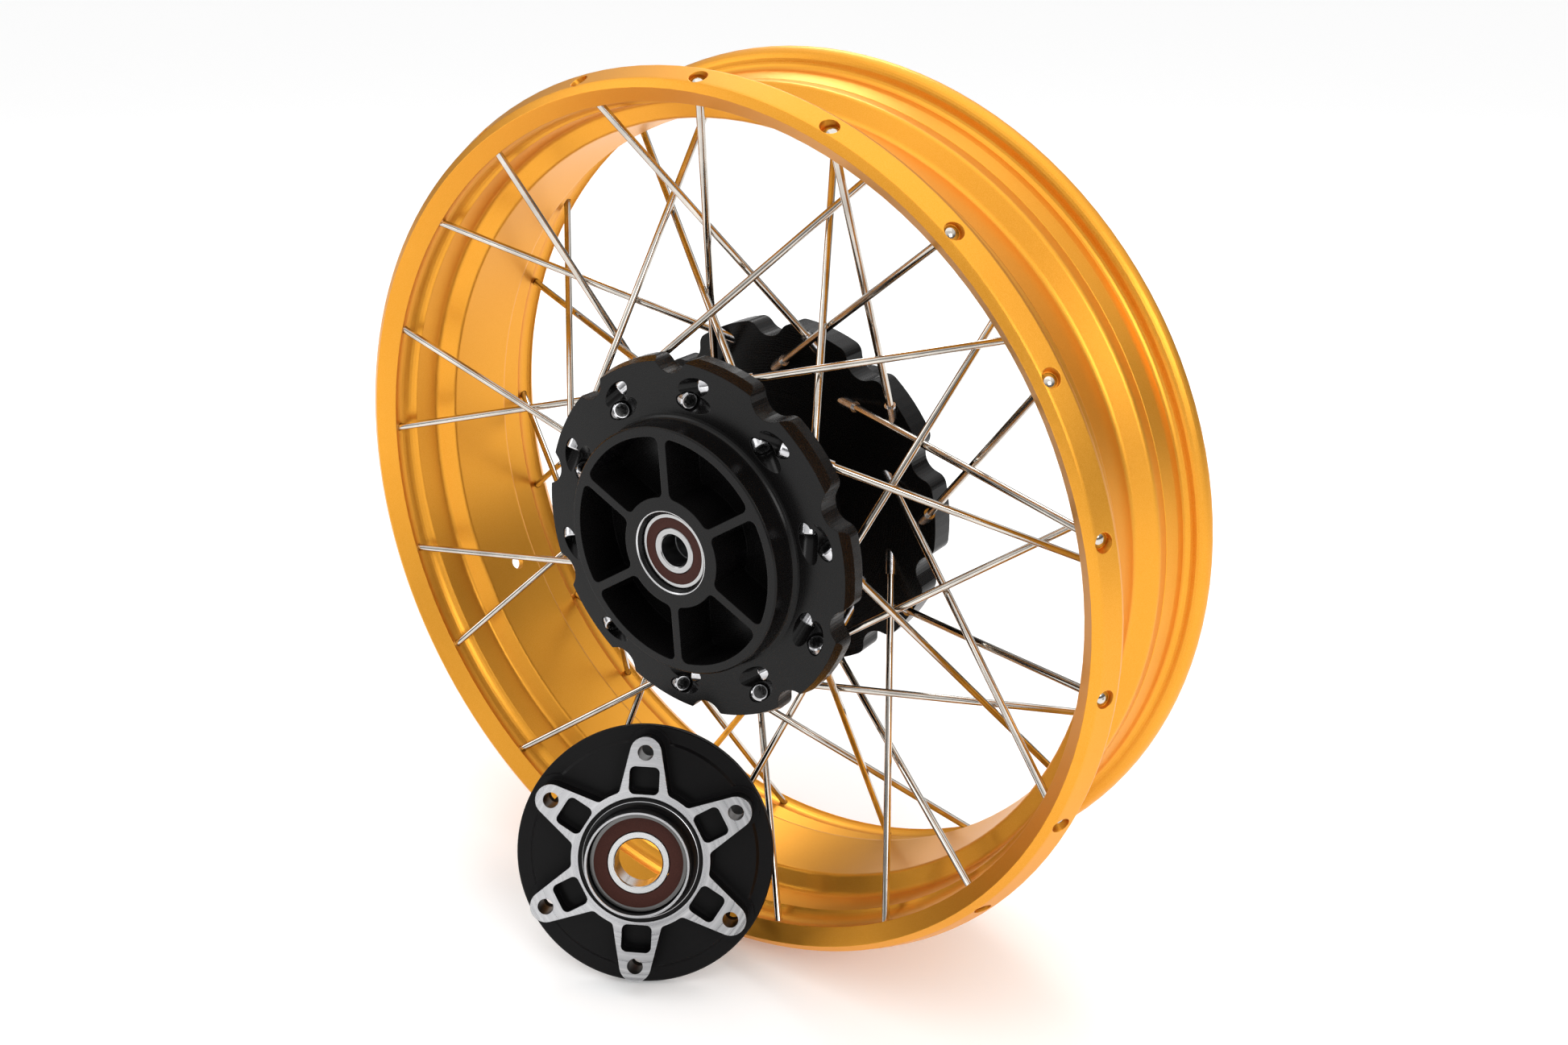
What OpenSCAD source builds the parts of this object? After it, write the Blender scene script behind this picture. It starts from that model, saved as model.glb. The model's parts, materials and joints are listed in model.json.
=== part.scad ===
// Spoked rear wheel: a wide aluminium rim cross-laced to a billet hub with a cush-drive
// drum, and the loose sprocket carrier that plugs into the drum.
// The origin is the wheel's centre. The axle runs along Y, the drum side is at -Y, +Z is up.

/* [Rim] */
// Radius over the two tyre flanges
rim_radius = 231; // [230:0.5:232]
// Distance between the two tyre flange walls
inside_width = 88.9; // [88:0.1:90]
// Diameter of the valve hole
valve_hole_d = 8.4; // [8:0.1:11]

/* [Spokes] */
// Diameter of a spoke
spoke_d = 3.8; // [3.4:0.1:3.9]
// Diameter of a spoke's domed head
spoke_head_d = 6.8; // [6:0.1:7.4]
// Diameter of a nipple's head
nipple_head_d = 9; // [8.4:0.1:9.2]
// Diameter of a nipple's shank
nipple_shank_d = 5.8; // [5.6:0.1:6]
// Length of a nipple's head
nipple_head_length = 6; // [5:0.5:7]

/* [Hub] */
// Radius over the lobes of the drum-side flange
near_lobe_radius = 96; // [95.5:0.5:96.5]
// Radius over the lobes of the brake-side flange
far_lobe_radius = 96; // [95:0.5:97]
// Outer radius of the cush-drive drum
drum_radius = 65; // [64:0.5:66]
// Thickness of the drum's outer wall
drum_wall = 5; // [4:0.5:6]
// Thickness of each of the six drum ribs
rib_thickness = 4.5; // [3.5:0.5:6]
// Radius of the drum's bearing boss
boss_radius = 29; // [27:0.5:30]
// Circle of the brake disc's bolts
disc_bolt_circle = 140; // [138:1:142]
// Tapping diameter of the brake disc's bolt holes
disc_bolt_d = 6.8; // [6.4:0.1:8]

/* [Sprocket carrier] */
// Radius of the carrier's flange
carrier_radius = 68.4; // [68:0.1:70]
// Circle of the sprocket bolts
sprocket_bolt_circle = 112.3; // [111:0.1:113]
// Diameter of the sprocket bolt holes
sprocket_bolt_d = 8.3; // [8:0.1:8.5]
// How far the carrier leans back from upright, in degrees
carrier_lean = 21.4; // [20:0.1:23]
// How far the carrier is turned about the vertical, in degrees
carrier_turn = 31.6; // [30:0.1:33]

/* [Hidden] */
$fn = 96;
gold = "#c98f2c";
black = "#1b1b1d";
steel = "#c8c9cc";
machined = "#a9abae";
seal_brown = "#4a2620";
overcut = 1;

// Stations along the axle, measured from the centre towards the drum side
drum_front = 70;
flange_front = 55;
flange_back = 43;
pocket_floor = 45;
drum_back = 39;
far_flange_inner = -25;
far_flange_outer = -39.5;
disc_face_inner = -51;
disc_face_outer = -59;
hub_end = -61;
near_bearing_centre = 61;
far_bearing_centre = -52;

// Radii of the hub's turned body
drum_foot_fillet = 3;
drum_back_radius = 60;
barrel_radius = 34;
cavity_radius = 18;
housing_mouth_radius = 21.8;
housing_mouth_depth = 1.8;

// Lobes of the two spoke flanges
lobe_count = 10;
lobe_pitch = 360 / lobe_count;
near_lobe_angle = 5.5;
far_lobe_angle = 5;
scoop_radius = 10;
scoop_beyond_lobes = 2;
shoulder_radius = 6.5;
bevel_start_radius = 94;
bevel_drop = 11;

// Drum ribs and pockets
rib_count = 6;
rib_angle = 33.3;
pocket_corner = 3.5;

// Brake disc flange
disc_lobe_count = 6;
disc_lobe_angle = -1;
disc_lobe_radius = 11;
disc_web_radius = 50;

// Lacing. Each row is: rim side, rim angle, hub radius, turn to the hub, hub station
valve_angle = -156.2;
valve_station = -5;
lip_radius = 228.3;
lip_station = 56.5;
first_spoke = 14.6;
lace_near_inner = [1, first_spoke, 77, 36.9, -22.5];
lace_near_outer = [1, first_spoke + 18, 94.5, -25, -22.5];
lace_far_outer = [-1, first_spoke + 18, 84.5, 50.5, 52];
lace_far_inner = [-1, first_spoke, 75, -68, 52];
far_seat = -32.2;
far_tip = -22.5;
near_seat = 50.3;
near_tip = 40;
head_seat_depth = 3.4;
head_rim_height = 0.8;
head_dome_height = 1.2;
head_pocket_d = 8.6;
shank_clearance = 0.3;
// Turn of the round cuts in the flanges, which keeps their seams off the sharp edges
seam_turn = 50;
nipple_pocket_gap = 0.6;
far_pocket_length = 31;
near_pocket_length = 24;
spoke_in_head = 1.5;
socket_depth = 3.4;

// Bearings: bore radius, outer radius, width, pitch radius, ball radius, balls,
// inner land radius, outer land radius
wheel_bearing = [8.5, 20, 12, 14.25, 3.375, 8, 12, 16.9];
carrier_bearing = [12.5, 26, 15, 19.25, 3.97, 9, 16.2, 22.6];
race_gap = 0.3;
ring_chamfer = 0.6;
seal_thickness = 1;
seal_inset = 0.2;
seal_seat = 0.8;

// Sprocket carrier, in its own frame: its axis is Z and its flange's front face is at zero
carrier_place = [-5.7, -92, -167.8];
carrier_spin = 28.4;
carrier_flange = 6;
field_radius = 59.5;
field_height = 1.5;
pedestal_radius = 11.4;
star_height = 13.8;
star_ring_outer = 36.6;
star_ring_inner = 32.8;
arm_end_radius = 8.3;
arm_taper = 11.5;
arm_fillet = 3;
window_centre = 41.5;
window_size = [14.6, 15.8];
window_corner = 3;
window_depth = 9;
collar_top = 25.6;
collar_radius = 27.3;
collar_fillet = 5;
carrier_bearing_front = 20;
shoulder_bore_radius = 21.5;
vane_length = 15;
vane_thickness = 9;
vane_inner = 33;
vane_outer = 56;

// Points of a round stretch of an outline
function arc(centre, radius, from, to, steps) =
    [for (i = [0:steps]) centre + radius * [cos(from + (to - from) * i / steps),
                                            sin(from + (to - from) * i / steps)]];
// The same without its two end points
function inner_arc(centre, radius, from, to, steps) =
    [for (i = [1:steps - 1]) centre + radius * [cos(from + (to - from) * i / steps),
                                                sin(from + (to - from) * i / steps)]];
function polar(r, a) = [r * cos(a), r * sin(a)];

// Turns a model built along +Z so that its +Z points along -Y
module on_axle() {
    rotate([90, 0, 0]) children();
}

module ring_of(count, start = 0) {
    for (i = [0:count - 1]) {
        rotate([0, 0, start + i * 360 / count]) children();
    }
}

// ---- Rim ----

// One half of the rim's section, from the well's top round the lip to the underside
function rim_half(r, w) = concat(
    [[r - 23, 0]],
    arc([r - 19, w - 32.4], 4, 180, 128, 4),
    arc([r - 16.7, w - 21.75], 3, -52, 0, 4),
    [[r - 13.7, w - 15.8], [r - 14.2, w - 15.5], [r - 14.2, w - 15.2], [r - 13.7, w - 14.9]],
    [[r - 11.5, w - 7]],
    arc([r - 7, w - 4], 4, 180, 90, 5),
    arc([r - 6.6, w + 6.6], 6.6, -90, 0, 8),
    [[r - 4.1, w + 15.1], [r - 4.6, w + 15.9], [r - 5.4, w + 16.4]],
    [[r - 8.5, w + 18.15]],
    arc([r - 23.94, w + 4.55], 10.24, 34.5, -51.4, 10),
    arc([r - 21.55, w - 16.2], 4, 0, -59, 5),
    arc([r - 24.5, w - 25.55], 2.5, 121, 180, 4),
    [[r - 27, 0]]
);

function mirrored(points) = concat(points,
    [for (i = [len(points) - 2:-1:1]) [points[i][0], -points[i][1]]]);

module rim() {
    color(gold) on_axle() difference() {
        rotate_extrude($fn = 180) polygon(mirrored(rim_half(rim_radius, inside_width / 2)));
        for (lace = [lace_near_inner, lace_near_outer, lace_far_inner, lace_far_outer]) {
            ring_of(lobe_count) spoke_line(lace) {
                translate([0, 0, -30]) cylinder(d = spoke_d + shank_clearance, h = 40, $fn = 24);
                translate([0, 0, -head_seat_depth]) cylinder(d = head_pocket_d, h = 12, $fn = 48);
            }
        }
        rotate([0, 0, valve_angle]) translate([rim_radius - 30, 0, valve_station])
            rotate([0, 90, 0]) cylinder(d = valve_hole_d, h = 20);
    }
}

// ---- Spokes ----

function lip_point(lace) = concat(polar(lip_radius, lace[1]), lace[0] * lip_station);
function hub_point(lace) = concat(polar(lace[2], lace[1] + lace[3]), lace[4]);
function lace_run(lace) = lip_point(lace) - hub_point(lace);
// Distance along a spoke from the rim's surface to a station on the axle
function reach(lace, station) =
    (lace[0] * lip_station - station) * norm(lace_run(lace)) / lace_run(lace)[2];

// Puts the origin where a spoke meets the rim's surface, with +Z running out along the spoke
module spoke_line(lace) {
    run = lace_run(lace);
    translate(lip_point(lace))
        rotate([0, acos(run[2] / norm(run)), atan2(run[1], run[0])])
            children();
}

module spoke_head() {
    cap_radius = (pow(spoke_head_d / 2, 2) + pow(head_dome_height, 2)) / (2 * head_dome_height);
    cylinder(d = spoke_head_d, h = head_rim_height, $fn = 32);
    intersection() {
        cylinder(d = spoke_head_d, h = head_rim_height + head_dome_height, $fn = 32);
        translate([0, 0, head_rim_height + head_dome_height - cap_radius])
            sphere(r = cap_radius, $fn = 48);
    }
}

module spokes(lace, seat) {
    rod = reach(lace, seat) + spoke_in_head;
    color(steel) on_axle() ring_of(lobe_count) spoke_line(lace) {
        translate([0, 0, -rod]) cylinder(d = spoke_d, h = rod - head_seat_depth + 0.4, $fn = 24);
        translate([0, 0, -head_seat_depth]) spoke_head();
    }
}

// Six-lobed drive socket of a nipple
module drive_socket() {
    circle(d = 4.3, $fn = 32);
    ring_of(6) translate([2.1, 0]) circle(d = 1.5, $fn = 16);
}

module nipple(lace, seat, tip) {
    seat_at = reach(lace, seat);
    tip_at = reach(lace, tip);
    chamfer = 0.6;
    head_r = nipple_head_d / 2;
    difference() {
        union() {
            translate([0, 0, -seat_at - nipple_head_length]) rotate_extrude($fn = 48)
                polygon([[0, 0], [head_r - chamfer, 0], [head_r, chamfer],
                         [head_r, nipple_head_length], [0, nipple_head_length]]);
            translate([0, 0, -seat_at - overcut])
                cylinder(d = nipple_shank_d, h = seat_at - tip_at + overcut, $fn = 32);
        }
        translate([0, 0, -seat_at - spoke_in_head - 0.2])
            cylinder(d = spoke_d + 0.1, h = seat_at, $fn = 24);
        translate([0, 0, -seat_at - nipple_head_length - overcut])
            linear_extrude(socket_depth + overcut) drive_socket();
    }
}

module nipples(lace, seat, tip) {
    color(steel) on_axle() ring_of(lobe_count) spoke_line(lace) nipple(lace, seat, tip);
}

// Shank hole and head pocket that a nipple needs in its flange
module nipple_seat(lace, seat, tip, pocket_length) {
    seat_at = reach(lace, seat);
    spoke_line(lace) rotate([0, 0, seam_turn]) {
        translate([0, 0, -seat_at - overcut])
            cylinder(d = nipple_shank_d + shank_clearance, h = seat_at - reach(lace, tip) + 8, $fn = 32);
        translate([0, 0, -seat_at - pocket_length])
            cylinder(d = nipple_head_d + nipple_pocket_gap, h = pocket_length, $fn = 48);
    }
}

// ---- Hub ----

// Outline of a spoke flange: flat-topped lobes with round shoulders between round scoops
function lobe_points(radius, turn) =
    let (
        scoop_at = radius + scoop_beyond_lobes,
        shoulder_at = radius - shoulder_radius,
        gap = scoop_radius + shoulder_radius,
        half = lobe_pitch / 2,
        flat = half - acos((pow(scoop_at, 2) + pow(shoulder_at, 2) - pow(gap, 2))
                           / (2 * scoop_at * shoulder_at)),
        slope = polar(scoop_at, half) - polar(shoulder_at, flat),
        lean = atan2(slope[1], slope[0])
    )
    concat(
        arc(polar(shoulder_at, turn - flat), shoulder_radius, turn - lean, turn - flat, 6),
        inner_arc([0, 0], radius, turn - flat, turn + flat, 6),
        arc(polar(shoulder_at, turn + flat), shoulder_radius, turn + flat, turn + lean, 6),
        inner_arc(polar(scoop_at, turn + half), scoop_radius,
                  turn + lean + 180, turn + lobe_pitch - lean + 180, 10)
    );

module lobed_outline(radius) {
    polygon([for (k = [0:lobe_count - 1]) each lobe_points(radius, k * lobe_pitch)]);
}

// One drum pocket between two ribs, centred on the +X axis
module drum_pocket_outline() {
    outer = drum_radius - drum_wall;
    inset = rib_thickness / 2 + pocket_corner;
    outer_at = outer - pocket_corner;
    inner_at = boss_radius + pocket_corner;
    half = 180 / rib_count;
    outer_turn = half - asin(inset / outer_at);
    inner_turn = half - asin(inset / inner_at);
    polygon(concat(
        inner_arc([0, 0], outer, -outer_turn, outer_turn, 12),
        arc(polar(outer_at, outer_turn), pocket_corner, outer_turn, half + 90, 6),
        arc(polar(inner_at, inner_turn), pocket_corner, half + 90, inner_turn + 180, 6),
        inner_arc([0, 0], boss_radius, inner_turn, -inner_turn, 8),
        arc(polar(inner_at, -inner_turn), pocket_corner, 180 - inner_turn, 270 - half, 6),
        arc(polar(outer_at, -outer_turn), pocket_corner, 270 - half, 360 - outer_turn, 6)
    ));
}

// Section of the hub's turned body, drawn as radius against station
module hub_section() {
    foot = drum_radius + drum_foot_fillet;
    edge = 0.8;
    polygon(concat(
        [[boss_radius - 10, hub_end], [boss_radius, hub_end], [boss_radius, disc_face_outer + overcut],
         [disc_web_radius, disc_face_outer + overcut], [disc_web_radius, disc_face_inner - overcut]],
        arc([barrel_radius + 6, disc_face_inner + 6], 6, -90, -180, 5),
        arc([barrel_radius + 4, far_flange_outer - 4], 4, 180, 90, 4),
        [[far_lobe_radius / 2, far_flange_outer], [far_lobe_radius / 2, far_flange_inner]],
        arc([barrel_radius + 6, far_flange_inner + 6], 6, -90, -180, 5),
        arc([barrel_radius + 8, drum_back - 12], 8, 180, 135, 3),
        [[drum_back_radius - 6, drum_back - 3], [drum_back_radius, drum_back],
         [drum_back_radius, flange_back + overcut], [foot, flange_back + overcut]],
        arc([foot, flange_front + drum_foot_fillet], drum_foot_fillet, -90, -180, 4),
        [[drum_radius, drum_front - edge], [drum_radius - edge, drum_front],
         [boss_radius - 10, drum_front]]
    ));
}

// Bore through the hub with a housing for a bearing at each end
module hub_bore() {
    housing = wheel_bearing[1];
    half_width = wheel_bearing[2] / 2;
    translate([0, 0, hub_end - overcut]) cylinder(r = cavity_radius, h = drum_front - hub_end + 2 * overcut);
    translate([0, 0, near_bearing_centre - half_width]) cylinder(r = housing, h = 2 * wheel_bearing[2]);
    translate([0, 0, far_bearing_centre + half_width - 2 * wheel_bearing[2]])
        cylinder(r = housing, h = 2 * wheel_bearing[2]);
    translate([0, 0, drum_front - housing_mouth_depth])
        cylinder(r1 = housing, r2 = housing_mouth_radius, h = housing_mouth_depth);
}

module disc_lobe() {
    polygon(concat(
        [[barrel_radius, -disc_lobe_radius]],
        arc([disc_bolt_circle / 2, 0], disc_lobe_radius, -90, 90, 16),
        [[barrel_radius, disc_lobe_radius]]
    ));
}

module hub() {
    color(black) on_axle() difference() {
        union() {
            rotate_extrude($fn = 180) hub_section();
            translate([0, 0, flange_back]) rotate([0, 0, near_lobe_angle])
                linear_extrude(flange_front - flange_back) lobed_outline(near_lobe_radius);
            translate([0, 0, far_flange_outer]) rotate([0, 0, far_lobe_angle])
                linear_extrude(far_flange_inner - far_flange_outer) lobed_outline(far_lobe_radius);
            translate([0, 0, disc_face_outer]) linear_extrude(disc_face_inner - disc_face_outer)
                ring_of(disc_lobe_count, disc_lobe_angle) disc_lobe();
        }
        hub_bore();
        translate([0, 0, pocket_floor]) linear_extrude(drum_front - pocket_floor + overcut)
            ring_of(rib_count, rib_angle + 180 / rib_count) drum_pocket_outline();
        // Bevel round the front of the drum-side lobes
        rotate_extrude($fn = 180) polygon([
            [bevel_start_radius, flange_front], [bevel_start_radius, flange_front + overcut],
            [near_lobe_radius + 2, flange_front + overcut], [near_lobe_radius + 2, flange_front - bevel_drop]]);
        ring_of(disc_lobe_count, disc_lobe_angle) translate([disc_bolt_circle / 2, 0, disc_face_outer - overcut])
            cylinder(d = disc_bolt_d, h = disc_face_inner - disc_face_outer + 2 * overcut, $fn = 32);
        for (lace = [lace_near_inner, lace_near_outer]) {
            ring_of(lobe_count) nipple_seat(lace, far_seat, far_tip, far_pocket_length);
        }
        for (lace = [lace_far_inner, lace_far_outer]) {
            ring_of(lobe_count) nipple_seat(lace, near_seat, near_tip, near_pocket_length);
        }
    }
}

// Tube between the two wheel bearings' inner rings
module axle_spacer() {
    top = near_bearing_centre - wheel_bearing[2] / 2;
    bottom = far_bearing_centre + wheel_bearing[2] / 2;
    color(machined) on_axle() translate([0, 0, bottom]) difference() {
        cylinder(r = wheel_bearing[6] - 0.4, h = top - bottom);
        translate([0, 0, -overcut]) cylinder(r = wheel_bearing[0], h = top - bottom + 2 * overcut);
    }
}

// ---- Ball bearings, centred on the origin with their axis along Z ----

module ring_section(inner, outer, width, chamfer_inner, chamfer_outer) {
    half = width / 2;
    polygon([
        [inner + chamfer_inner, -half], [outer - chamfer_outer, -half],
        [outer, -half + chamfer_outer], [outer, half - chamfer_outer],
        [outer - chamfer_outer, half], [inner + chamfer_inner, half],
        [inner, half - chamfer_inner], [inner, -half + chamfer_inner]]);
}

module ball_race(bearing) {
    translate([bearing[3], 0]) circle(r = bearing[4] + race_gap, $fn = 48);
}

module outer_ring(bearing) {
    half = bearing[2] / 2;
    step = seal_inset + seal_thickness;
    color(steel) rotate_extrude() difference() {
        ring_section(bearing[7], bearing[1], bearing[2], 0.01, ring_chamfer);
        ball_race(bearing);
        for (side = [-1, 1]) {
            translate([bearing[7] - overcut, side * (half - step / 2) - step / 2])
                square([overcut + seal_seat, step]);
        }
    }
}

module inner_ring(bearing) {
    color(steel) rotate_extrude() difference() {
        ring_section(bearing[0], bearing[6], bearing[2], ring_chamfer, 0.3);
        ball_race(bearing);
    }
}

module balls(bearing) {
    color(steel) ring_of(bearing[5]) translate([bearing[3], 0, 0]) sphere(r = bearing[4], $fn = 48);
}

module cage(bearing) {
    pocket = bearing[4] + 0.15;
    half = pocket + 0.6;
    wall = 1.3;
    color(machined) difference() {
        rotate_extrude() translate([bearing[3] - wall, -half]) square([2 * wall, 2 * half]);
        ring_of(bearing[5]) translate([bearing[3] - bearing[4], 0, 0])
            rotate([0, 90, 0]) cylinder(r = pocket, h = 2 * bearing[4], $fn = 48);
    }
}

module seals(bearing) {
    half = bearing[2] / 2;
    inner = bearing[6] + race_gap;
    outer = bearing[7] + seal_seat;
    color(seal_brown) for (side = [-1, 1]) {
        translate([0, 0, side * (half - seal_inset - seal_thickness / 2) - seal_thickness / 2])
            difference() {
                cylinder(r = outer, h = seal_thickness);
                translate([0, 0, -overcut]) cylinder(r = inner, h = seal_thickness + 2 * overcut);
            }
    }
}

module at_near_bearing() {
    on_axle() translate([0, 0, near_bearing_centre]) children();
}

module at_far_bearing() {
    on_axle() translate([0, 0, far_bearing_centre]) children();
}

// ---- Sprocket carrier ----

module at_carrier() {
    translate(carrier_place) rotate([90 - carrier_lean, 0, carrier_turn])
        rotate([0, 0, carrier_spin]) children();
}

module at_carrier_bearing() {
    at_carrier() translate([0, 0, carrier_bearing_front - carrier_bearing[2] / 2]) children();
}

// Half of the star's outline between an arm's root and its tip, on the arm's left side
function star_half(arm_turn) =
    let (
        bolt_at = sprocket_bolt_circle / 2,
        side = 90 - arm_taper,
        root_at = star_ring_outer + arm_fillet,
        line_at = bolt_at * sin(arm_taper) + arm_end_radius + arm_fillet,
        root_turn = side - acos(line_at / root_at)
    )
    [polar(bolt_at, arm_turn), side, polar(root_at, arm_turn + root_turn), root_turn];

// Outline of the six-armed star: round arm ends, tapering arms, and round corners at the ring
function star_points(turn) =
    let (
        pitch = 360 / rib_count,
        half = star_half(turn),
        next_root = polar(star_ring_outer + arm_fillet, turn + pitch - half[3])
    )
    concat(
        arc(half[0], arm_end_radius, turn - half[1], turn + half[1], 14),
        arc(half[2], arm_fillet, turn + half[1] + 180, turn + half[3] + 180, 5),
        inner_arc([0, 0], star_ring_outer, turn + half[3], turn + pitch - half[3], 4),
        arc(next_root, arm_fillet, turn + pitch - half[3] + 180, turn + pitch - half[1] + 180, 5)
    );

module star_outline() {
    polygon([for (k = [0:rib_count - 1]) each star_points(k * 360 / rib_count)]);
}

// Square with round corners, centred on the origin
module rounded_window(size, corner) {
    long = size[0] / 2 - corner;
    wide = size[1] / 2 - corner;
    polygon(concat(
        arc([long, wide], corner, 0, 90, 6),
        arc([-long, wide], corner, 90, 180, 6),
        arc([-long, -wide], corner, 180, 270, 6),
        arc([long, -wide], corner, 270, 360, 6)
    ));
}

// Section of the carrier's turned body, drawn as radius against height
module carrier_section() {
    back = -carrier_flange;
    housing = carrier_bearing[1];
    shoulder = carrier_bearing_front - carrier_bearing[2];
    ring_core = (star_ring_inner + star_ring_outer) / 2;
    edge = 0.6;
    polygon(concat(
        [[shoulder_bore_radius, back - 2], [star_ring_inner - 1, back - 2], [star_ring_inner - 1, back],
         [carrier_radius - edge, back], [carrier_radius, back + edge],
         [carrier_radius, -edge], [carrier_radius - edge, 0],
         [field_radius + field_height, 0], [field_radius, field_height],
         [ring_core, field_height], [ring_core, star_height], [star_ring_inner, star_height]],
        arc([star_ring_inner, star_height + collar_fillet - 0.6], collar_fillet, -90, -180, 6),
        [[collar_radius, collar_top], [housing + 0.3, collar_top], [housing, collar_top - 0.3],
         [housing, shoulder], [shoulder_bore_radius, shoulder]]
    ));
}

module sprocket_carrier() {
    bolt_at = sprocket_bolt_circle / 2;
    sunk = 0.5;
    color(black) at_carrier() difference() {
        union() {
            rotate_extrude($fn = 180) carrier_section();
            difference() {
                linear_extrude(star_height) star_outline();
                translate([0, 0, -overcut]) cylinder(r = star_ring_inner + sunk, h = star_height + 2 * overcut);
            }
            ring_of(rib_count) {
                translate([bolt_at, 0, -sunk])
                    cylinder(r = pedestal_radius, h = field_height + sunk, $fn = 48);
                translate([vane_inner, -vane_thickness / 2, -carrier_flange - vane_length])
                    cube([vane_outer - vane_inner, vane_thickness, vane_length + overcut]);
            }
        }
        ring_of(rib_count) {
            translate([bolt_at, 0, -carrier_flange - vane_length - overcut])
                cylinder(d = sprocket_bolt_d, h = carrier_flange + vane_length + star_height + 2 * overcut, $fn = 32);
            translate([window_centre, 0, star_height - window_depth])
                linear_extrude(window_depth + overcut) rounded_window(window_size, window_corner);
        }
    }
}

rim();
hub();
axle_spacer();
spokes(lace_near_inner, far_seat);  // spokes_near_inner
spokes(lace_near_outer, far_seat);  // spokes_near_outer
spokes(lace_far_inner, near_seat);  // spokes_far_inner
spokes(lace_far_outer, near_seat);  // spokes_far_outer
nipples(lace_near_inner, far_seat, far_tip);  // nipples_near_inner
nipples(lace_near_outer, far_seat, far_tip);  // nipples_near_outer
nipples(lace_far_inner, near_seat, near_tip);  // nipples_far_inner
nipples(lace_far_outer, near_seat, near_tip);  // nipples_far_outer
at_near_bearing() outer_ring(wheel_bearing);  // near_bearing_outer_ring
at_near_bearing() inner_ring(wheel_bearing);  // near_bearing_inner_ring
at_near_bearing() balls(wheel_bearing);  // near_bearing_balls
at_near_bearing() cage(wheel_bearing);  // near_bearing_cage
at_near_bearing() seals(wheel_bearing);  // near_bearing_seals
at_far_bearing() outer_ring(wheel_bearing);  // far_bearing_outer_ring
at_far_bearing() inner_ring(wheel_bearing);  // far_bearing_inner_ring
at_far_bearing() balls(wheel_bearing);  // far_bearing_balls
at_far_bearing() cage(wheel_bearing);  // far_bearing_cage
at_far_bearing() seals(wheel_bearing);  // far_bearing_seals
sprocket_carrier();
at_carrier_bearing() outer_ring(carrier_bearing);  // carrier_bearing_outer_ring
at_carrier_bearing() inner_ring(carrier_bearing);  // carrier_bearing_inner_ring
at_carrier_bearing() balls(carrier_bearing);  // carrier_bearing_balls
at_carrier_bearing() cage(carrier_bearing);  // carrier_bearing_cage
at_carrier_bearing() seals(carrier_bearing);  // carrier_bearing_seals
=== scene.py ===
"""Looks, camera and studio for a spoked motorcycle wheel and its loose sprocket carrier.

Everything is in metres in the wheel's own frame: the axle runs along Y, the drum side is at -Y.
"""
import json
import math

import bpy
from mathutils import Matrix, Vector


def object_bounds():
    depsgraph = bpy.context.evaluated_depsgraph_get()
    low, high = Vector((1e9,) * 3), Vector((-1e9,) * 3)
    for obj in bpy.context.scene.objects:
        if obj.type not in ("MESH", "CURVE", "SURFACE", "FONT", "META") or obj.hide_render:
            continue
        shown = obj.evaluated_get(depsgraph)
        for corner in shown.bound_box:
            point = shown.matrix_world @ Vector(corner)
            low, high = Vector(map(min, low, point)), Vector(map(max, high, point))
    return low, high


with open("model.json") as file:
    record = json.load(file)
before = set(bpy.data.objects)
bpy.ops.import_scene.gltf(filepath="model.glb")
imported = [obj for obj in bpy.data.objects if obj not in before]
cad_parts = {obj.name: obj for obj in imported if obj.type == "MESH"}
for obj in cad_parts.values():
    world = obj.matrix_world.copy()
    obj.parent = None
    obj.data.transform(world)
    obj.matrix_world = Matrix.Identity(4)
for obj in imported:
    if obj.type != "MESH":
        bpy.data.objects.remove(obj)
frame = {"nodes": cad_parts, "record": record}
cad_low, cad_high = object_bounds()

MM = 0.001
AXLE = Vector((0.0, 1.0, 0.0))
MOUNTS = {mount["name"]: mount for mount in frame["record"]["mounts"]}

# Sprocket carrier: its star face and axis come from the bolt circle's mount
STAR_FACE = Vector(MOUNTS["sprocket_bolts"]["pos_m"])
STAR_AXIS = Vector(MOUNTS["sprocket_bolts"]["axis"]).normalized()
COLLAR_ABOVE_STAR = 11.8 * MM
FLANGE_BELOW_STAR = 14.6 * MM

# Lacing, in millimetres and degrees: rim angle, turn to the hub, hub radius, side, station on the
# axle at the hub, and how far past it the painted shade in the sockets of that lace's nipples starts
SPOKES_PER_LACE = 10
SPOKE_HEAD_RADIUS, SPOKE_HEAD_STATION = 228.3, 56.5
LACES = (
    (32.6, 50.5, 84.5, -1, -52.0, -1.4),
    (14.6, -68.0, 75.0, -1, -52.0, -1.7),
    (14.6, 36.9, 77.0, 1, 22.5, 25.3),
    (32.6, -25.0, 94.5, 1, 22.5, 22.6),
)
# Radius of the painted shade in each nipple head's socket
SOCKET_SHADE_RADIUS = 3.4 * MM

# Mouth of the drum-side bearing's housing
HOUSING_MOUTH_RADIUS, HOUSING_MOUTH_WIDTH = 21.7 * MM, 0.35 * MM
HOUSING_MOUTH_STATION = -69.0 * MM


# ---------------------------------------------------------------- node helpers

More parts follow.
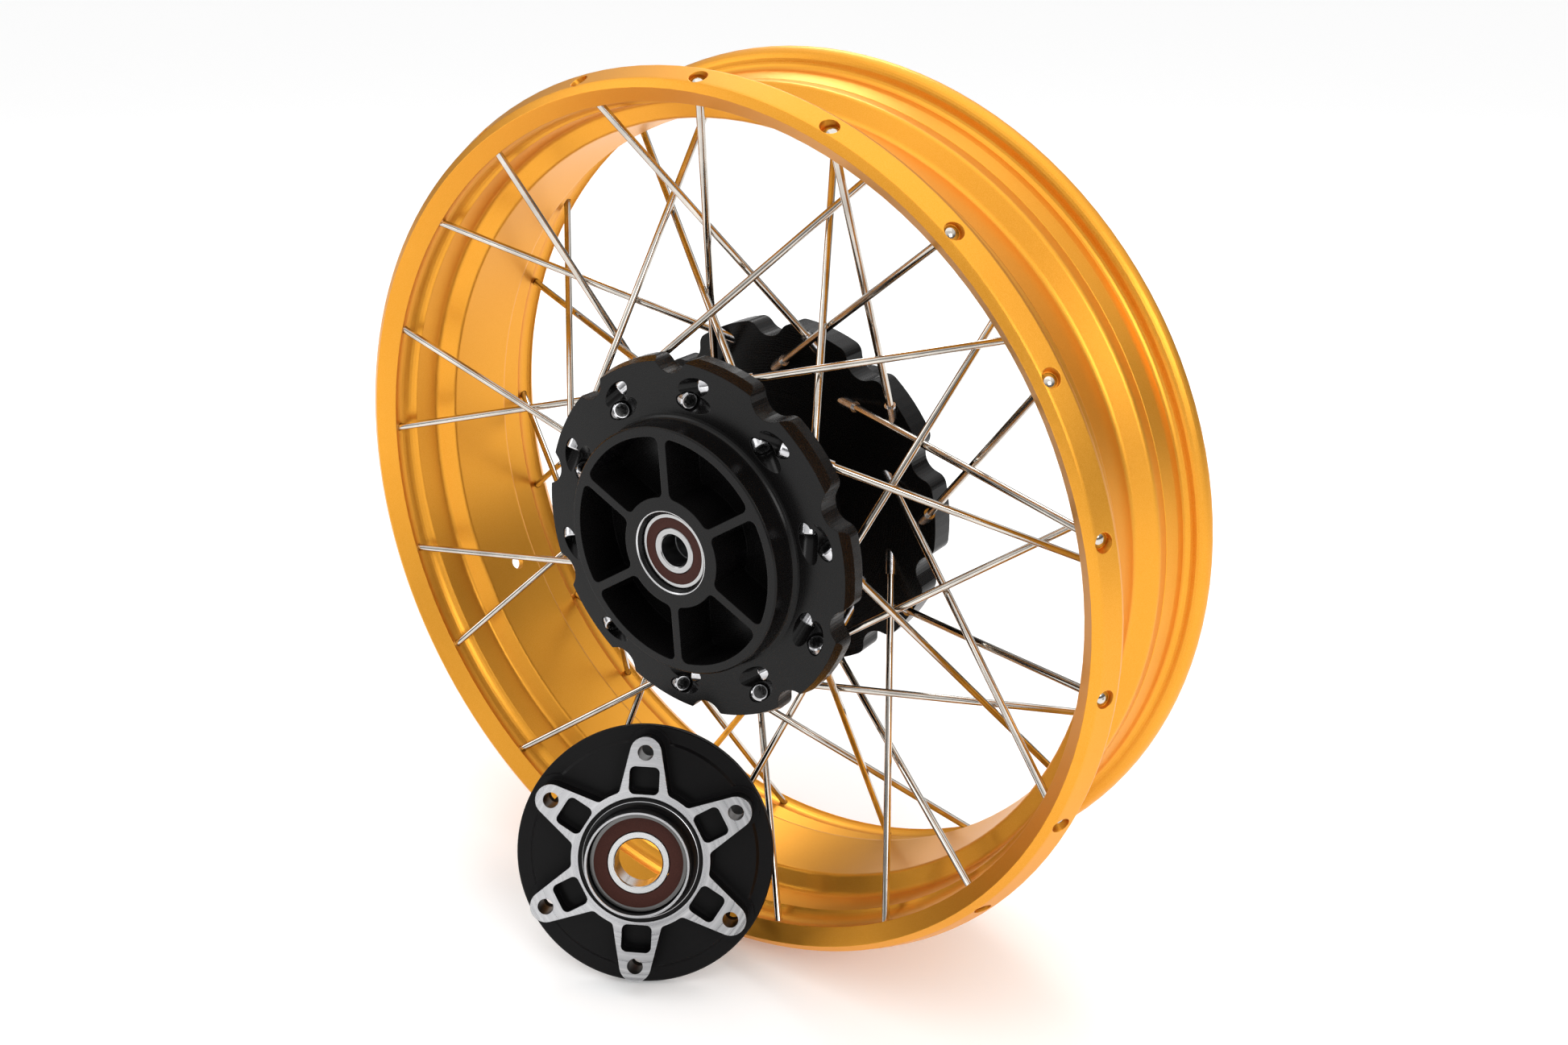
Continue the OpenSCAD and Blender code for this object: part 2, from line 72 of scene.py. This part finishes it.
class Shader:
    """A node material under construction, with short calls for the nodes used here."""

    def __init__(self, name):
        self.material = bpy.data.materials.new(name)
        self.material.use_nodes = True
        self.nodes = self.material.node_tree.nodes
        self.links = self.material.node_tree.links
        self.bsdf = self.nodes["Principled BSDF"]
        self.point = self.nodes.new("ShaderNodeTexCoord").outputs["Object"]

    def put(self, value, socket):
        """Links an output, or sets a constant, on an input socket."""
        if isinstance(value, bpy.types.NodeSocket):
            self.links.new(value, socket)
        else:
            socket.default_value = value

    def math(self, operation, *values):
        node = self.nodes.new("ShaderNodeMath")
        node.operation = operation
        for socket, value in zip(node.inputs, values):
            self.put(value, socket)
        return node.outputs[0]

    def vector(self, operation, *values):
        node = self.nodes.new("ShaderNodeVectorMath")
        node.operation = operation
        for socket, value in zip(node.inputs, values):
            self.put(value, socket)
        scalar = operation in ("DOT_PRODUCT", "LENGTH")
        return node.outputs["Value" if scalar else "Vector"]

    def noise(self, scale, detail=2.0, vector=None, stretch=None):
        node = self.nodes.new("ShaderNodeTexNoise")
        node.inputs["Scale"].default_value = scale
        node.inputs["Detail"].default_value = detail
        source = self.point if vector is None else vector
        if stretch is not None:
            source = self.vector("MULTIPLY", source, stretch)
        self.links.new(source, node.inputs["Vector"])
        return node.outputs["Fac"]

    def rings(self, distance, scale, detail=3.0):
        """Noise that changes only with a distance, for lathe marks."""
        node = self.nodes.new("ShaderNodeTexNoise")
        node.noise_dimensions = "1D"
        node.inputs["Scale"].default_value = scale
        node.inputs["Detail"].default_value = detail
        self.links.new(distance, node.inputs["W"])
        return node.outputs["Fac"]

    def spread(self, factor, low, high, start=0.3, end=0.7):
        node = self.nodes.new("ShaderNodeMapRange")
        node.clamp = True
        self.put(factor, node.inputs["Value"])
        node.inputs["From Min"].default_value = start
        node.inputs["From Max"].default_value = end
        self.put(low, node.inputs["To Min"])
        self.put(high, node.inputs["To Max"])
        return node.outputs["Result"]

    def blend(self, factor, first, second):
        node = self.nodes.new("ShaderNodeMix")
        node.data_type = "RGBA"
        self.put(factor, node.inputs["Factor"])
        self.put(first, node.inputs["A"])
        self.put(second, node.inputs["B"])
        return node.outputs["Result"]

    def bump(self, height, distance, strength=1.0, normal=None):
        node = self.nodes.new("ShaderNodeBump")
        node.inputs["Distance"].default_value = distance
        node.inputs["Strength"].default_value = strength
        self.put(height, node.inputs["Height"])
        if normal is not None:
            self.links.new(normal, node.inputs["Normal"])
        return node.outputs["Normal"]

    def soft_edges(self, radius):
        node = self.nodes.new("ShaderNodeBevel")
        node.samples = 6
        node.inputs["Radius"].default_value = radius
        return node.outputs["Normal"]

    def from_axis(self, origin, axis):
        """Vector from the nearest point of an axis line."""
        offset = self.vector("SUBTRACT", self.point, tuple(origin))
        return self.vector("CROSS_PRODUCT", offset, tuple(axis))

    def near_line(self, point, direction, radius, start, count):
        """1 within a radius of a line and beyond its start, for a line repeated round the axle."""
        step = math.tau / count
        x, y, z = self.separate(self.point)
        turn = self.math("ARCTAN2", z, x)
        home = math.atan2(point.z, point.x)
        turns = self.math("ROUND", self.math("DIVIDE", self.math("SUBTRACT", turn, home), step))
        rotate = self.nodes.new("ShaderNodeVectorRotate")
        rotate.rotation_type = "Y_AXIS"
        self.put(self.point, rotate.inputs["Vector"])
        self.put(self.math("MULTIPLY", turns, step), rotate.inputs["Angle"])
        offset = self.vector("SUBTRACT", rotate.outputs["Vector"], tuple(point))
        away = self.vector("LENGTH", self.vector("CROSS_PRODUCT", offset, tuple(direction)))
        along = self.vector("DOT_PRODUCT", offset, tuple(direction))
        inside = self.math("LESS_THAN", away, radius)
        return self.math("MULTIPLY", inside, self.math("GREATER_THAN", along, start))

    def separate(self, vector):
        node = self.nodes.new("ShaderNodeSeparateXYZ")
        self.put(vector, node.inputs["Vector"])
        return node.outputs[0], node.outputs[1], node.outputs[2]

    def set(self, **sockets):
        for name, value in sockets.items():
            self.put(value, self.bsdf.inputs[name.replace("_", " ")])
        return self.material


def rgb(red, green, blue):
    return (red, green, blue, 1.0)


# ------------------------------------------------------------------- materials

def gold_anodised():
    s = Shader("gold_anodised")
    grain = s.noise(2600, 2.0)
    cloud = s.noise(9, 3.0)
    tint = s.blend(s.spread(cloud, 0.0, 1.0), rgb(0.74, 0.305, 0.022), rgb(0.80, 0.345, 0.03))
    colour = s.blend(s.spread(grain, 0.0, 0.35, 0.35, 0.75), tint, rgb(0.98, 0.52, 0.11))
    normal = s.bump(grain, 0.06 * MM, 0.55, s.soft_edges(0.5 * MM))
    return s.set(Base_Color=colour, Metallic=0.9, Roughness=s.spread(grain, 0.32, 0.46),
                 Normal=normal)


def lace_line(rim_angle, turn, hub_radius, side, hub_y):
    """Point on the hub and outward direction of one spoke's line."""
    def polar(radius, angle, y):
        return Vector((radius * math.cos(math.radians(angle)), y,
                       radius * math.sin(math.radians(angle)))) * MM
    hub_end = polar(hub_radius, rim_angle + turn, hub_y)
    rim_end = polar(SPOKE_HEAD_RADIUS, rim_angle, -side * SPOKE_HEAD_STATION)
    return hub_end, (hub_end - rim_end).normalized()


def black_anodised():
    """Satin black, with the bearing housing's mouth cut back to bare metal after anodising."""
    s = Shader("black_anodised")
    radius = s.vector("LENGTH", s.from_axis((0, 0, 0), AXLE))
    lathe = s.rings(radius, 2600)
    grain = s.noise(1800, 2.0)
    cloud = s.noise(22, 3.0)
    ring = s.math("COMPARE", radius, HOUSING_MOUTH_RADIUS, HOUSING_MOUTH_WIDTH)
    outside = s.math("LESS_THAN", s.separate(s.point)[1], HOUSING_MOUTH_STATION)
    bare = s.math("MULTIPLY", ring, outside)
    dark = s.blend(s.spread(cloud, 0.0, 1.0), rgb(0.0030, 0.0028, 0.0028),
                   rgb(0.0048, 0.0045, 0.0045))
    colour = s.blend(bare, dark, rgb(0.62, 0.62, 0.63))
    rough = s.math("ADD", s.spread(lathe, -0.03, 0.04), s.spread(grain, 0.22, 0.30))
    normal = s.bump(lathe, 0.006 * MM, 0.5, s.soft_edges(0.45 * MM))
    return s.set(Base_Color=colour, Metallic=bare, Roughness=rough, Specular_IOR_Level=0.18,
                 Normal=normal)


def plated_nipples():
    """Bright plated steel, with painted shade filling the socket in each head."""
    s = Shader("plated_nipples")
    streak = s.noise(400, 3.0)
    fine = s.noise(3200, 2.0)
    # Painted shade: inside each head's socket the colour is near-black and not metallic, standing in
    # for the shade in that recess
    socket = 0.0
    for *lace, start in LACES:
        socket_shade = s.near_line(*lace_line(*lace), SOCKET_SHADE_RADIUS, start * MM, SPOKES_PER_LACE)
        socket = s.math("MAXIMUM", socket, socket_shade)
    plating = s.blend(s.spread(streak, 0.0, 1.0), rgb(0.42, 0.42, 0.43), rgb(0.66, 0.66, 0.68))
    colour = s.blend(socket, plating, rgb(0.012, 0.012, 0.012))
    normal = s.bump(fine, 0.01 * MM, 0.4)
    return s.set(Base_Color=colour, Metallic=s.math("SUBTRACT", 1.0, socket),
                 Roughness=s.spread(fine, 0.14, 0.24), Normal=normal)


def carrier_finish():
    """Black anodising with the star's face and the collar's edge machined back to bare metal."""
    s = Shader("carrier_finish")
    across = s.from_axis(STAR_FACE, STAR_AXIS)
    radius = s.vector("LENGTH", across)
    offset = s.vector("SUBTRACT", s.point, tuple(STAR_FACE))
    height = s.vector("DOT_PRODUCT", offset, tuple(STAR_AXIS))
    star = s.math("COMPARE", height, 0.0, 0.06 * MM)
    collar = s.math("COMPARE", height, COLLAR_ABOVE_STAR, 0.35 * MM)
    bare = s.math("MAXIMUM", star, collar)
    lathe = s.rings(radius, 3200, 3.0)
    coarse = s.rings(radius, 420, 3.0)
    grain = s.noise(1800, 2.0)
    metal = s.blend(s.spread(coarse, 0.0, 1.0), rgb(0.38, 0.38, 0.39), rgb(0.54, 0.54, 0.55))
    dark = s.blend(s.spread(grain, 0.0, 1.0), rgb(0.0030, 0.0028, 0.0030),
                   rgb(0.0050, 0.0047, 0.0050))
    colour = s.blend(bare, dark, metal)
    rough_metal = s.spread(coarse, 0.24, 0.36)
    behind = s.math("LESS_THAN", height, -FLANGE_BELOW_STAR)
    rough_black = s.spread(behind, s.spread(grain, 0.30, 0.38), 0.9, 0.0, 1.0)
    rough = s.spread(bare, rough_black, rough_metal, 0.0, 1.0)
    normal = s.bump(lathe, 0.003 * MM, 0.5, s.soft_edges(0.35 * MM))
    tangent = s.vector("NORMALIZE", across)
    return s.set(Base_Color=colour, Metallic=bare, Roughness=rough, Specular_IOR_Level=0.12,
                 Anisotropic=0.75, Tangent=tangent, Normal=normal)


def polished_steel(name, dark, light, rough, scale):
    s = Shader(name)
    streak = s.noise(scale, 3.0)
    fine = s.noise(3200, 2.0)
    colour = s.blend(s.spread(streak, 0.0, 1.0), dark, light)
    normal = s.bump(fine, 0.01 * MM, 0.4)
    return s.set(Base_Color=colour, Metallic=1.0, Roughness=s.spread(fine, rough[0], rough[1]),
                 Normal=normal)


def turned_steel(name, origin, axis, dark, light, rough):
    s = Shader(name)
    across = s.from_axis(origin, axis)
    radius = s.vector("LENGTH", across)
    lathe = s.rings(radius, 3200, 3.0)
    colour = s.blend(s.spread(lathe, 0.0, 1.0), dark, light)
    normal = s.bump(lathe, 0.002 * MM, 0.5, s.soft_edges(0.2 * MM))
    return s.set(Base_Color=colour, Metallic=1.0, Roughness=s.spread(lathe, rough[0], rough[1]),
                 Anisotropic=0.4, Tangent=s.vector("NORMALIZE", across), Normal=normal)


def seal_rubber(name, origin, axis):
    s = Shader(name)
    radius = s.vector("LENGTH", s.from_axis(origin, axis))
    moulding = s.rings(radius, 900, 2.0)
    grain = s.noise(2400, 3.0)
    colour = s.blend(s.spread(grain, 0.0, 1.0), rgb(0.036, 0.011, 0.008), rgb(0.060, 0.020, 0.015))
    normal = s.bump(s.math("ADD", moulding, s.math("MULTIPLY", grain, 0.4)), 0.05 * MM, 0.6)
    return s.set(Base_Color=colour, Metallic=0.0, Roughness=s.spread(grain, 0.50, 0.65),
                 Specular_IOR_Level=0.12, Normal=normal)


def give(material, *nodes):
    for node in nodes:
        mesh = frame["nodes"][node].data
        mesh.materials.clear()
        mesh.materials.append(material)


def dress_wheel():
    give(gold_anodised(), "rim")
    give(black_anodised(), "hub")
    spokes = [f"spokes_{side}_{row}" for side in ("near", "far") for row in ("inner", "outer")]
    nipples = [f"nipples_{side}_{row}" for side in ("near", "far") for row in ("inner", "outer")]
    give(polished_steel("polished_spokes", rgb(0.44, 0.41, 0.37), rgb(0.66, 0.62, 0.56),
                        (0.08, 0.16), 60), *spokes)
    give(plated_nipples(), *nipples)
    give(turned_steel("turned_spacer", (0, 0, 0), AXLE, rgb(0.45, 0.45, 0.46),
                      rgb(0.60, 0.60, 0.61), (0.3, 0.4)), "axle_spacer")


def dress_bearing(prefix, origin, axis, outer=None):
    ground = turned_steel(f"{prefix}_ground_steel", origin, axis, rgb(0.34, 0.34, 0.34),
                          rgb(0.50, 0.50, 0.50), (0.16, 0.26))
    pressed = polished_steel(f"{prefix}_pressed_steel", rgb(0.5, 0.5, 0.5), rgb(0.6, 0.6, 0.6),
                             (0.25, 0.35), 300)
    give(ground, f"{prefix}_inner_ring", f"{prefix}_balls")
    give(outer or ground, f"{prefix}_outer_ring")
    give(pressed, f"{prefix}_cage")
    give(seal_rubber(f"{prefix}_seal_rubber", origin, axis), f"{prefix}_seals")


# ---------------------------------------------------------------------- studio

def floor():
    """A large pale floor under the wheel."""
    half = 20.0
    level = cad_low.z - 0.0002
    mesh = bpy.data.meshes.new("floor")
    corners = [(-half, -half, level), (half, -half, level), (half, half, level), (-half, half, level)]
    mesh.from_pydata(corners, [], [(0, 1, 2, 3)])
    plane = bpy.data.objects.new("floor", mesh)
    bpy.context.collection.objects.link(plane)
    s = Shader("pale_floor")
    paper = s.noise(40, 3.0)
    colour = s.blend(s.spread(paper, 0.0, 1.0), rgb(0.955, 0.955, 0.955), rgb(0.965, 0.965, 0.965))
    mesh.materials.append(s.set(Base_Color=colour, Roughness=0.75, Specular_IOR_Level=0.15,
                                Emission_Color=rgb(1, 1, 1), Emission_Strength=0.14))


def area_light(name, place, target, size, power, tint=(1, 1, 1)):
    data = bpy.data.lights.new(name, "AREA")
    data.shape = "RECTANGLE"
    data.size, data.size_y = size
    data.energy = power
    data.color = tint
    lamp = bpy.data.objects.new(name, data)
    lamp.location = place
    lamp.rotation_euler = (Vector(target) - Vector(place)).to_track_quat("-Z", "Y").to_euler()
    bpy.context.collection.objects.link(lamp)
    return lamp


def studio():
    floor()
    area_light("overhead_softbox", (0.1, 0.1, 1.9), (0, 0, 0), (2.0, 2.0), 8)
    area_light("key_softbox", (1.8, -0.8, 1.0), (0, 0, 0), (0.9, 0.9), 13)
    area_light("left_softbox", (-1.5, -1.2, 0.8), (0, 0, 0), (0.9, 1.2), 7)
    area_light("low_front_card", (0.45, -1.9, 0.12), (0, 0, -0.15), (0.9, 0.35), 2.2)
    area_light("back_softbox", (-0.9, 1.3, 1.5), (0, 0, 0), (0.7, 0.7), 9)
    world = bpy.data.worlds.new("studio")
    world.use_nodes = True
    nodes, links = world.node_tree.nodes, world.node_tree.links
    direction = nodes.new("ShaderNodeTexCoord")
    height = nodes.new("ShaderNodeSeparateXYZ")
    links.new(direction.outputs["Generated"], height.inputs["Vector"])
    dome = nodes.new("ShaderNodeMapRange")
    for name, value in {"From Min": 0.22, "From Max": 0.62, "To Min": 0.16, "To Max": 1.05}.items():
        dome.inputs[name].default_value = value
    links.new(height.outputs["Z"], dome.inputs["Value"])
    links.new(dome.outputs["Result"], nodes["Background"].inputs["Strength"])
    nodes["Background"].inputs["Color"].default_value = (1, 1, 1, 1)
    bpy.context.scene.world = world
    view = bpy.context.scene.view_settings
    view.view_transform = "Standard"
    view.look = "None"


def camera():
    """Three-quarter view from the drum side, a little above the axle."""
    azimuth, elevation = math.radians(35.57), math.radians(23.10)
    distance = 0.808
    aside, above = 15.8 * MM, -7.1 * MM
    back = Vector((math.sin(azimuth) * math.cos(elevation),
                   -math.cos(azimuth) * math.cos(elevation), math.sin(elevation)))
    right = Vector((math.cos(azimuth), math.sin(azimuth), 0))
    up = back.cross(right)
    data = bpy.data.cameras.new("camera")
    data.sensor_width = 36
    data.lens = 35.02
    data.clip_start, data.clip_end = 0.01, 100
    eye = bpy.data.objects.new("camera", data)
    eye.location = right * aside + up * above + back * distance
    eye.rotation_euler = (-back).to_track_quat("-Z", "Y").to_euler()
    bpy.context.collection.objects.link(eye)
    bpy.context.scene.camera = eye


dress_wheel()
dress_bearing("near_bearing", (0, 0, 0), AXLE)
dress_bearing("far_bearing", (0, 0, 0), AXLE)
give(carrier_finish(), "sprocket_carrier")
# Painted shade: the carrier bearing's outer ring gets a dark steel colour standing in for the shade
# on it
dress_bearing("carrier_bearing", STAR_FACE, STAR_AXIS,
              turned_steel("painted_shade_ring", STAR_FACE, STAR_AXIS, rgb(0.10, 0.10, 0.10),
                           rgb(0.17, 0.165, 0.16), (0.25, 0.35)))
studio()
camera()
